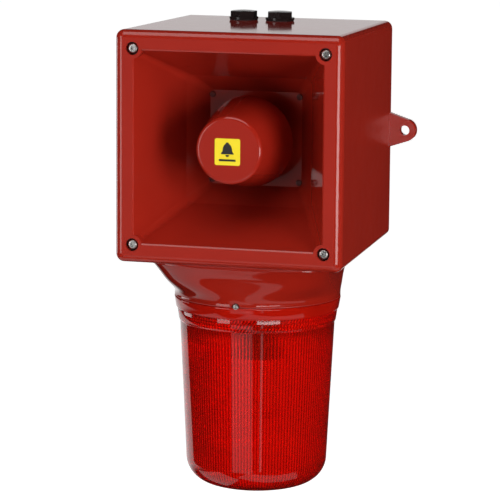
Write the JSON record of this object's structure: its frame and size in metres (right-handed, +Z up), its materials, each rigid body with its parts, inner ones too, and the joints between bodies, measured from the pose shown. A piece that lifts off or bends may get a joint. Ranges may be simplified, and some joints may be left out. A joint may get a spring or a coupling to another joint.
{
  "type": "horn strobe",
  "caption": "Wall-mounted red alarm horn with a square re-entrant horn, a round reflector cup and a ribbed red strobe lens hanging below on a flared adapter.",
  "frame": {"origin": "on the wall plane at the back of the box, half-way between the centres of the two lug holes", "axes": "+Y into the wall, -Y out of it along the horn, +Z up, +X to the right seen from the front"},
  "size_m": [0.2826, 0.23, 0.4891],
  "materials": {
    "red_moulding": "gloss, light moulded texture",
    "red_lens": "clear, ribbed inside",
    "black_moulding": "satin",
    "seal_rubber": "matte",
    "seal_red": "satin silicone",
    "screw_red": "red paint",
    "base_white": "satin",
    "screw_steel": "satin",
    "insert_brass": "machined",
    "label_yellow": "printed film",
    "board_green": "solder resist",
    "lead_red": "satin",
    "switch_blue": "satin",
    "switch_white": "satin",
    "transformer_iron": "varnished",
    "magnet_ferrite": "ground",
    "cast_aluminium": "cast",
    "capacitor_sleeve": "shrink sleeve",
    "tube_glass": "clear",
    "diaphragm_film": "film",
    "coil_copper": "varnished copper"
  },
  "bodies": {
    "housing": {"adapter_gasket": "seal_rubber", "adapter_screws": "screw_steel", "base_plate": "base_white", "base_screws": "screw_steel", "beacon_adapter": "red_moulding", "board_capacitors": "capacitor_sleeve", "board_header": "black_moulding", "board_pillars": "screw_steel", "board_screws": "screw_steel", "cable_grommet": "seal_rubber", "cover_gasket": "seal_rubber", "entry_plugs": "black_moulding", "flash_capacitor": "capacitor_sleeve", "heat_sink": "cast_aluminium", "lens_gasket": "seal_red", "lens_lock_screws": "screw_steel", "main_board": "board_green", "plug_locknuts": "black_moulding", "plug_seals": "seal_rubber", "rear_housing": "red_moulding", "screw_inserts": "insert_brass", "strobe_board": "board_green", "strobe_leads": "lead_red", "strobe_pillars": "screw_steel", "supply_transformer": "transformer_iron", "terminal_block": "black_moulding", "terminal_screws": "screw_steel", "tone_switch_body": "switch_blue", "trigger_coil": "capacitor_sleeve", "tube_electrodes": "insert_brass", "tube_holder": "black_moulding", "volume_body": "switch_blue", "xenon_tube": "tube_glass"},
    "front_cover": {"horn_cover": "red_moulding", "cover_screws": "screw_steel", "screw_seals": "seal_rubber", "reflector_cup": "red_moulding", "throat_tube": "black_moulding", "label_plate": "label_yellow", "flange_screws": "screw_red", "driver_gasket": "seal_rubber", "driver_mounting_plate": "cast_aluminium", "phase_plug": "black_moulding", "top_plate": "transformer_iron", "driver_magnet": "magnet_ferrite", "pole_piece": "transformer_iron", "driver_rear_cover": "cast_aluminium", "driver_rear_screws": "screw_steel", "driver_terminals": "black_moulding", "driver_leads": "lead_red", "driver_plug": "black_moulding"},
    "diaphragm": {"diaphragm": "diaphragm_film", "voice_coil": "coil_copper"},
    "lens": {"lens": "red_lens"},
    "volume_rotor": {"volume_rotor": "switch_white"},
    "tone_slider_1": {"tone_slider_1": "switch_white"},
    "tone_slider_2": {"tone_slider_2": "switch_white"},
    "tone_slider_3": {"tone_slider_3": "switch_white"},
    "tone_slider_4": {"tone_slider_4": "switch_white"},
    "tone_slider_5": {"tone_slider_5": "switch_white"}
  },
  "joints": [
    {"name": "cover_removal", "type": "slide", "parent": "housing", "child": "front_cover", "axis": [0, -1, 0], "range_m": [0, 0.16]},
    {"name": "diaphragm_travel", "type": "slide", "parent": "front_cover", "child": "diaphragm", "axis": [0, -1, 0], "range_m": [-0.0005, 0.0005], "stiffness_N_per_m": 400},
    {"name": "lens_removal", "type": "slide", "parent": "housing", "child": "lens", "axis": [0, 0, -1], "range_m": [0, 0.16]},
    {"name": "volume_turn", "type": "hinge", "parent": "housing", "child": "volume_rotor", "pos_m": [0.058, -0.0246, -0.014], "axis": [0, -1, 0], "range_deg": [-135, 135]},
    {"name": "tone_select_1", "type": "slide", "parent": "housing", "child": "tone_slider_1", "axis": [0, 0, 1], "range_m": [0, 0.0013]},
    {"name": "tone_select_2", "type": "slide", "parent": "housing", "child": "tone_slider_2", "axis": [0, 0, 1], "range_m": [0, 0.0013]},
    {"name": "tone_select_3", "type": "slide", "parent": "housing", "child": "tone_slider_3", "axis": [0, 0, 1], "range_m": [0, 0.0013]},
    {"name": "tone_select_4", "type": "slide", "parent": "housing", "child": "tone_slider_4", "axis": [0, 0, 1], "range_m": [0, 0.0013]},
    {"name": "tone_select_5", "type": "slide", "parent": "housing", "child": "tone_slider_5", "axis": [0, 0, 1], "range_m": [0, 0.0013]}
  ]
}
